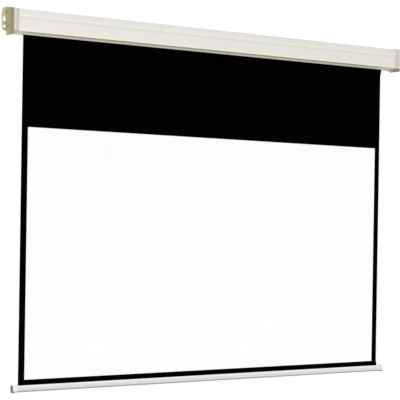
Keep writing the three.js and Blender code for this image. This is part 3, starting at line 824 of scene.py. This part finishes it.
class ROLLSCREEN_OT_sheet(bpy.types.Operator):
    """Makes the hanging sheet, the white picture area on it and the hem round its rod"""

    bl_idname = "rollscreen.sheet"
    bl_label = "Sheet"

    def execute(self, context):
        sizes = context.scene.rollscreen_sheet
        black, white = cloth_materials(sizes)
        cloth = self.make_cloth(sizes, black)
        picture = self.make_picture(sizes, white)
        hem = self.make_hem(black)
        stand_for(cloth, "screen_cloth", "case")
        stand_for(picture, "image_face", "case")
        stand_for(hem, "sheet_hem", "bar")
        # The cloth and the picture area each get a mesh of their own.
        for piece in (cloth, picture):
            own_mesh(piece)
        return {"FINISHED"}

    def stand_out(self, across, share):
        """How far the sheet reaches past its cut on the right. share is 1 where all of it shows."""
        return mm(STAND_OUT_MM) * share * across**STAND_OUT_POWER

    def ripple(self, sizes, x, z):
        """How far the cloth stands forward: nothing at its ends, a few waves between."""
        low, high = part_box("screen_cloth")
        hang = math.sin(math.pi * clamped((z - low.z) / (high.z - low.z)))
        waves = sum(
            share * math.sin(2 * math.pi * x / (pitches * sizes.ripple_pitch) + lean * z + start)
            for share, pitches, lean, start in WAVES
        )
        return sizes.ripple_depth * hang * waves

    def make_cloth(self, sizes, material):
        low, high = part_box("screen_cloth")
        low.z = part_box("sheet_hem")[1].z
        wide, tall = high.x - low.x, high.z - low.z
        case_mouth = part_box("case_channel")[0].z
        waves = {}

        def point(across, down, side):
            z = high.z - down * tall
            near = clamped((z - case_mouth + mm(UNDER_CASE_MM)) / mm(UNDER_CASE_SLOPE_MM))
            x = low.x + across * wide + self.stand_out(across, near)
            if (across, down) not in waves:
                waves[across, down] = self.ripple(sizes, x, z)
            return Vector((x, (low.y, high.y)[side] - waves[across, down], z))

        def cloth_place(across, down):
            return across * wide, -down * tall

        mesh = closed_sheet("hanging_cloth", *CLOTH_CELLS, point, cloth_place)
        return new_piece("hanging_cloth", mesh, material)

    def make_picture(self, sizes, material):
        low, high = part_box("image_face")
        cloth_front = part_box("screen_cloth")[0].y
        wide, thick = high.x - low.x, high.y - low.y
        back = cloth_front - mm(COAT_GAP_MM)
        low.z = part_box("sheet_hem")[1].z
        waves = {}

        def point(across, down, side):
            x = low.x + across * wide
            edge = high.z + mm(CORNER_RISE_MM) - sizes.slant * across
            z = edge + down * (low.z - edge)
            if (across, down) not in waves:
                waves[across, down] = self.ripple(sizes, x, z)
            return Vector((x, (back - thick, back)[side] - waves[across, down], z))

        def cloth_place(across, down):
            front = point(across, down, 0)
            return front.x, front.z

        mesh = closed_sheet("picture_area", *PICTURE_CELLS, point, cloth_place)
        return new_piece("picture_area", mesh, material)

    def hem_profile(self, weld):
        """The hem from the side: the cloth goes down in front, round the rod, up behind, and is
        welded to itself between the heights given. Returns the corners of its outline and how
        far along the cloth each of them lies."""
        low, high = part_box("sheet_hem")
        rod_low, rod_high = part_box("hem_rod")
        cloth_low, cloth_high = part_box("screen_cloth")
        wall = (cloth_high.y - cloth_low.y) / 2
        strip = (low.y + high.y) / 2
        middle = (rod_low.z + rod_high.z) / 2
        radius = (rod_high.z - rod_low.z) / 2 + mm(HEM_ROD_GAP_MM) + wall
        open_angle = math.asin(min(wall / radius, 1)) * HEM_OPENING_SHARE
        line = [Vector((0, strip - wall, z)) for z in weld]
        for step in range(HEM_SIDES + 1):
            turn = open_angle + 2 * (math.pi - open_angle) * step / HEM_SIDES
            y, z = strip - math.sin(turn) * radius, middle + math.cos(turn) * radius
            line.append(Vector((0, y, z)))
        line += [Vector((0, strip + wall, z)) for z in reversed(weld)]
        outside, inside, lengths = [], [], []
        along = 0
        for before, here, after in zip([line[0], *line], line, [*line[1:], line[-1]]):
            out = (after - before).normalized().cross(Vector((1, 0, 0))) * wall * HEM_WALL_SHARE
            outside.append(here + out)
            inside.append(here - out)
            along += (here - before).length
            lengths.append(along)
        return outside + inside[::-1], lengths + lengths[::-1]

    def make_hem(self, material):
        """Sweeps the hem's outline along the bar."""
        low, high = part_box("sheet_hem")
        wide = high.x - low.x
        # The right edge spreads out towards the bar, and is as cut where it goes into it.
        bar_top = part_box("bottom_bar")[1].z
        starts, full = high.z - mm(1), bar_top + mm(7)
        ends, gone = bar_top + mm(1.2), bar_top + mm(0.6)
        profile, lengths = self.hem_profile([high.z, starts, full, ends, gone])

        def spread(z):
            return clamped((starts - z) / (starts - full)) if z > (ends + gone) / 2 else 0

        shape = bmesh.new()
        cloth = shape.loops.layers.uv.new("cloth")
        rings = []
        for station in range(HEM_STATIONS + 1):
            across = station / HEM_STATIONS
            ring = []
            for at in profile:
                x = low.x + across * wide + self.stand_out(across, spread(at.z))
                ring.append(shape.verts.new((x, at.y, at.z)))
            rings.append(ring)
        size = len(profile)
        for step in range(HEM_STATIONS):
            for here in range(size):
                there = (here + 1) % size
                corners = [(step, here), (step, there), (step + 1, there), (step + 1, here)]
                face = shape.faces.new([rings[station][place] for station, place in corners])
                for loop, (station, place) in zip(face.loops, corners):
                    loop[cloth].uv = (wide * station / HEM_STATIONS, lengths[place])
        for ring in (rings[0], rings[-1]):
            for here in range(size // 2 - 1):
                there = size - 1 - here
                shape.faces.new([ring[place] for place in (here, here + 1, there - 1, there)])
        bmesh.ops.recalc_face_normals(shape, faces=shape.faces)
        sharpen(shape)
        mesh = bpy.data.meshes.new("hem")
        shape.to_mesh(mesh)
        shape.free()
        return new_piece("hem", mesh, material)


class ROLLSCREEN_OT_rolled(bpy.types.Operator):
    """Winds the cloth that stays on the roller"""

    bl_idname = "rollscreen.rolled"
    bl_label = "Cloth on the roller"

    def execute(self, context):
        sizes = context.scene.rollscreen_sheet
        black, _ = cloth_materials(sizes)
        low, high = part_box("wound_cloth")
        tube_low, tube_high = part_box("roller_tube")
        thick = mm(WOUND_CLOTH_MM)
        outer = (high.z - low.z) / 2 - thick / 2
        inner = (tube_high.z - tube_low.z) / 2 + mm(WOUND_GAP_MM) + thick / 2
        tree = self.winding(black)
        rolled = run_tree(
            "rolled_cloth",
            tree,
            bpy.data.meshes.new("rolled_cloth"),
            black,
            turns=sizes.turns_left,
            inner_radius=inner,
            outer_radius=outer,
            thickness=thick,
            width=high.x - low.x,
        )
        # The cloth leaves the roller on its wall side and runs over the top and down in front.
        axis = (low + high) / 2
        turned = Matrix.Rotation(math.radians(90), 4, "Y")
        lie = Matrix.Rotation(math.radians(sizes.turns_left * 360), 4, "Z")
        rolled.data.transform(Matrix.Translation(axis) @ turned @ lie)
        rolled.data.update()
        self.unroll(rolled.data, axis, outer)
        stand_for(rolled, "wound_cloth", "roller")
        return {"FINISHED"}

    def winding(self, material):
        tree, sizes, out = new_tree(
            "winding",
            turns=1.25,
            inner_radius=mm(20.5),
            outer_radius=mm(21.2),
            thickness=mm(WOUND_CLOTH_MM),
            width=2.0,
        )
        spiral = add(
            tree,
            "GeometryNodeCurveSpiral",
            {
                "Resolution": SPIRAL_STEPS,
                "Rotations": sizes["Turns"],
                "Start Radius": sizes["Inner radius"],
                "End Radius": sizes["Outer radius"],
                "Height": 0.0,
            },
        )
        upright = add(tree, "GeometryNodeSetCurveNormal", {"Curve": spiral}, mode="Z_UP")
        section = add(
            tree,
            "GeometryNodeCurvePrimitiveQuadrilateral",
            {"Width": sizes["Thickness"], "Height": sizes["Width"]},
        )
        band = add(
            tree,
            "GeometryNodeCurveToMesh",
            {"Curve": upright, "Profile Curve": section, "Fill Caps": True},
        )
        plain = add(tree, "GeometryNodeRealizeInstances", {"Geometry": band})
        done = add(tree, "GeometryNodeSetMaterial", {"Geometry": plain, "Material": material})
        tree.links.new(done.outputs[0], out.inputs[0])
        return tree

    def unroll(self, mesh, axis, radius):
        """Lays the wound cloth flat in its own UV map, along the roller and round it."""
        cloth = mesh.uv_layers.new(name="cloth").data
        for face in mesh.polygons:
            middle = math.atan2(face.center.y - axis.y, face.center.z - axis.z)
            for index in face.loop_indices:
                place = mesh.vertices[mesh.loops[index].vertex_index].co
                turn = math.atan2(place.y - axis.y, place.z - axis.z) - middle
                turn = (turn + math.pi) % (2 * math.pi) - math.pi
                cloth[index].uv = place.x, (middle + turn) * radius


class ROLLSCREEN_OT_case(bpy.types.Operator):
    """Finishes the two profiles of the case"""

    bl_idname = "rollscreen.case"
    bl_label = "Case"

    def execute(self, context):
        colours = context.scene.rollscreen_case
        # The top is greyer towards its upper edge. Round the seam, a painted highlight lies above
        # it, painted light fills its groove against the groove's shadow, and a painted shadow lies
        # just under it.
        # Down the front, a warm painted highlight grows towards the lower edge and is brightest on
        # the edge itself, and the underside is painted lighter against its shade.
        top = mm_of(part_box("case_channel")[1].z)
        low = top - CASE_FACE_MM
        seam = top - UPPER_STRIP_MM
        greyer_top, seam_highlight, painted_light = linear("#E1E1DC"), linear("#EDE9E4"), linear("#FAF7F2")
        seam_shadow, edge_highlight, lit_underside = linear("#DEDAD5"), linear("#FFFBE8"), linear("#FAF4DC")
        bands = [
            (top - 29, top - 4, greyer_top, False),
            # Painted highlight above the seam, painted light in its groove, painted shadow under it
            (seam + 10, seam + 4, seam_highlight, True),
            (seam + 0.5, seam, painted_light, True),
            (seam - 2, seam - 2.5, seam_shadow, True),
            (seam - 7, seam - 13, colours.paint, True),
            # Warm painted highlight on the lower front, brightest on the edge
            (low + 17.5, low + 4.5, colours.warm_highlight, True),
            (low + 4.5, low + 0.3, edge_highlight, True),
            # The underside is painted lighter against its shade.
            (low, low - 0.2, lit_underside, False),
        ]
        coat = powder_coat(
            "cream_powder_coated_aluminium",
            colours.paint,
            bands,
            colours.right_end_shade,
            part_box("case_channel"),
        )
        finish_nodes("case_paint", coat)
        return {"FINISHED"}


class ROLLSCREEN_OT_ends(bpy.types.Operator):
    """Finishes the collars, end caps, wall plates, brackets and screws"""

    bl_idname = "rollscreen.ends"
    bl_label = "Case ends"

    def execute(self, context):
        colours = context.scene.rollscreen_case
        for slot, name, colour, shade, roughness in (
            ("collar_plastic", "grey_moulded_abs", colours.collar, "#C2BFB8", 0.55),
            ("cap_plastic", "cream_moulded_abs", colours.cap, "#D3CAC1", 0.45),
        ):
            plastic = moulded_plastic(
                name, colour, linear(shade), grain_mm=1.2, roughness=roughness
            )
            finish_nodes(slot, plastic)
        # The plate's tones paint the web's shade and the ear's light as copies of one paint.
        finish_nodes(
            "plate_paint",
            painted_folded_steel(
                "beige_enamelled_folded_steel",
                colours.plate,
                linear("#CAC294"),
                front_tone=(0.66, 0.64, 0.58, 1),
                ear_lit_tone=linear("#BFB8A0"),
                edge_dark=linear("#8A8473"),
                primer=linear("#6F685A"),
                ear_from=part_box("right_wall_plate")[1].x - mm(EAR_MM),
            ),
        )
        finish_nodes(
            "zinc_steel",
            bare_metal(
                "bright_zinc_plated_steel",
                linear("#A9A79C"),
                linear("#98958A"),
                drawn=(1, 1, 1),
                roughness=0.36,
                line_mm=1.1,
            ),
        )
        return {"FINISHED"}


class ROLLSCREEN_OT_drive(bpy.types.Operator):
    """Finishes the roller and its motor, and makes the motor's lead"""

    bl_idname = "rollscreen.drive"
    bl_label = "Roller and motor"

    def execute(self, context):
        for slot, name, colour, shade, along, roughness in (
            ("tube_aluminium", "mill_finish_extruded_aluminium", "#D2D3D5", "#C7C8CB", 0.01, 0.38),
            ("motor_steel", "cold_drawn_motor_steel", "#A9ABAE", "#989A9C", 0.02, 0.36),
        ):
            tones = linear(colour), linear(shade)
            metal = bare_metal(name, *tones, (along, 1, 1), roughness, line_mm=1.0)
            finish_nodes(slot, metal)
        finish_nodes(
            "black_plastic",
            moulded_plastic(
                "black_glass_filled_nylon",
                linear("#1E1E20"),
                linear("#28282A"),
                grain_mm=0.9,
                roughness=0.5,
            ),
        )
        self.make_lead()
        return {"FINISHED"}

    def make_lead(self):
        """The lead drops out of the motor's head, turns towards the wall and goes out
        through the gland."""
        low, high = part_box("motor_lead")
        sheath = moulded_plastic(
            "black_pvc_sheath",
            linear("#141416"),
            linear("#1B1B1D"),
            grain_mm=1.5,
            roughness=0.42,
        )
        radius, bend = mm(LEAD_RADIUS_MM), mm(LEAD_BEND_MM)
        drop = Vector((low.x + radius, low.y + radius, high.z))
        corner = Vector((drop.x, drop.y, low.z + radius))
        turn = Vector((drop.x, high.y - radius, corner.z))
        tip = Vector((high.x, turn.y, turn.z))
        seed = bpy.data.meshes.new("motor_cable")
        seed.from_pydata([drop, corner, turn, tip], [(0, 1), (1, 2), (2, 3)], [])
        tree, sizes, out = new_tree("cable", radius=radius, bend=bend)
        route = add(tree, "GeometryNodeMeshToCurve", {"Mesh": sizes["Geometry"]})
        smooth = add(
            tree,
            "GeometryNodeFilletCurve",
            {"Curve": route, "Count": LEAD_BEND_STEPS, "Radius": sizes["Bend"]},
            mode="POLY",
        )
        section = add(
            tree,
            "GeometryNodeCurvePrimitiveCircle",
            {"Resolution": LEAD_SIDES, "Radius": sizes["Radius"]},
        )
        tube = add(
            tree,
            "GeometryNodeCurveToMesh",
            {"Curve": smooth, "Profile Curve": section, "Fill Caps": True},
        )
        plain = add(tree, "GeometryNodeRealizeInstances", {"Geometry": tube})
        done = add(tree, "GeometryNodeSetMaterial", {"Geometry": plain, "Material": sheath})
        tree.links.new(done.outputs[0], out.inputs[0])
        lead = run_tree("motor_cable", tree, seed, sheath, radius=radius, bend=bend)
        stand_for(lead, "motor_lead", "case")


class ROLLSCREEN_OT_bar(bpy.types.Operator):
    """Finishes the bottom bar and its caps"""

    bl_idname = "rollscreen.bar"
    bl_label = "Bottom bar"

    def execute(self, context):
        colours = context.scene.rollscreen_bar
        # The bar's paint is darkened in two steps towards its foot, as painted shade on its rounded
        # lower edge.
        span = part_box("bottom_bar")
        foot = mm_of(span[0].z)
        foot_shade = linear("#A3A29F")
        bands = [
            (foot + 26, foot + 17.5, colours.shaded_tone, False),
            (foot + 9.5, foot + 5, foot_shade, False),
        ]
        finish_nodes(
            "bar_paint",
            powder_coat("white_powder_coated_bar", colours.paint, bands, colours.right_end_shade, span),
        )
        # The caps' greyer right end and dark outer faces and lower edges are painted shade.
        low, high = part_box("right_bar_cap")
        finish_nodes(
            "bar_cap_plastic",
            cap_plastic_shaded(
                "warm_white_moulded_abs",
                colours.cap,
                linear("#EBE4DA"),
                shaded_tone=linear("#E4E3E5"),
                cap_shade=linear("#544B41"),
                outer_face=high.x,
                low_edge=low.z,
            ),
        )
        return {"FINISHED"}


class ROLLSCREEN_PT_sidebar(bpy.types.Panel):
    """Sizes, colours and makers of the projection screen"""

    bl_idname = "ROLLSCREEN_PT_sidebar"
    bl_label = "Projection screen"
    bl_space_type = "VIEW_3D"
    bl_region_type = "UI"
    bl_category = "Projection screen"

    def draw(self, context):
        for name, (group, makers) in LAYOUT.items():
            box = self.layout.box()
            box.label(text=group.__doc__)
            values = getattr(context.scene, f"rollscreen_{name}")
            for key in group.__annotations__:
                box.prop(values, key)
            for maker in makers:
                box.operator(maker.bl_idname)


# Each group of sizes, with the operators that read it
LAYOUT = {
    "stage": (ScreenStage, [ROLLSCREEN_OT_stage]),
    "sheet": (ScreenSheet, [ROLLSCREEN_OT_rolled, ROLLSCREEN_OT_sheet]),
    "case": (ScreenCase, [ROLLSCREEN_OT_case, ROLLSCREEN_OT_ends, ROLLSCREEN_OT_drive]),
    "bar": (ScreenBar, [ROLLSCREEN_OT_bar]),
}


def register():
    for name, (group, makers) in LAYOUT.items():
        bpy.utils.register_class(group)
        setattr(
            bpy.types.Scene, f"rollscreen_{name}", bpy.props.PointerProperty(type=group)
        )
        for maker in makers:
            bpy.utils.register_class(maker)
    bpy.utils.register_class(ROLLSCREEN_PT_sidebar)


def unregister():
    bpy.utils.unregister_class(ROLLSCREEN_PT_sidebar)
    for name, (group, makers) in reversed(LAYOUT.items()):
        for maker in makers:
            bpy.utils.unregister_class(maker)
        delattr(bpy.types.Scene, f"rollscreen_{name}")
        bpy.utils.unregister_class(group)


def main():
    register()
    bpy.ops.rollscreen.stage()
    bpy.ops.rollscreen.rolled()
    bpy.ops.rollscreen.sheet()
    bpy.ops.rollscreen.case()
    bpy.ops.rollscreen.ends()
    bpy.ops.rollscreen.drive()
    bpy.ops.rollscreen.bar()


if __name__ == "__main__":
    main()
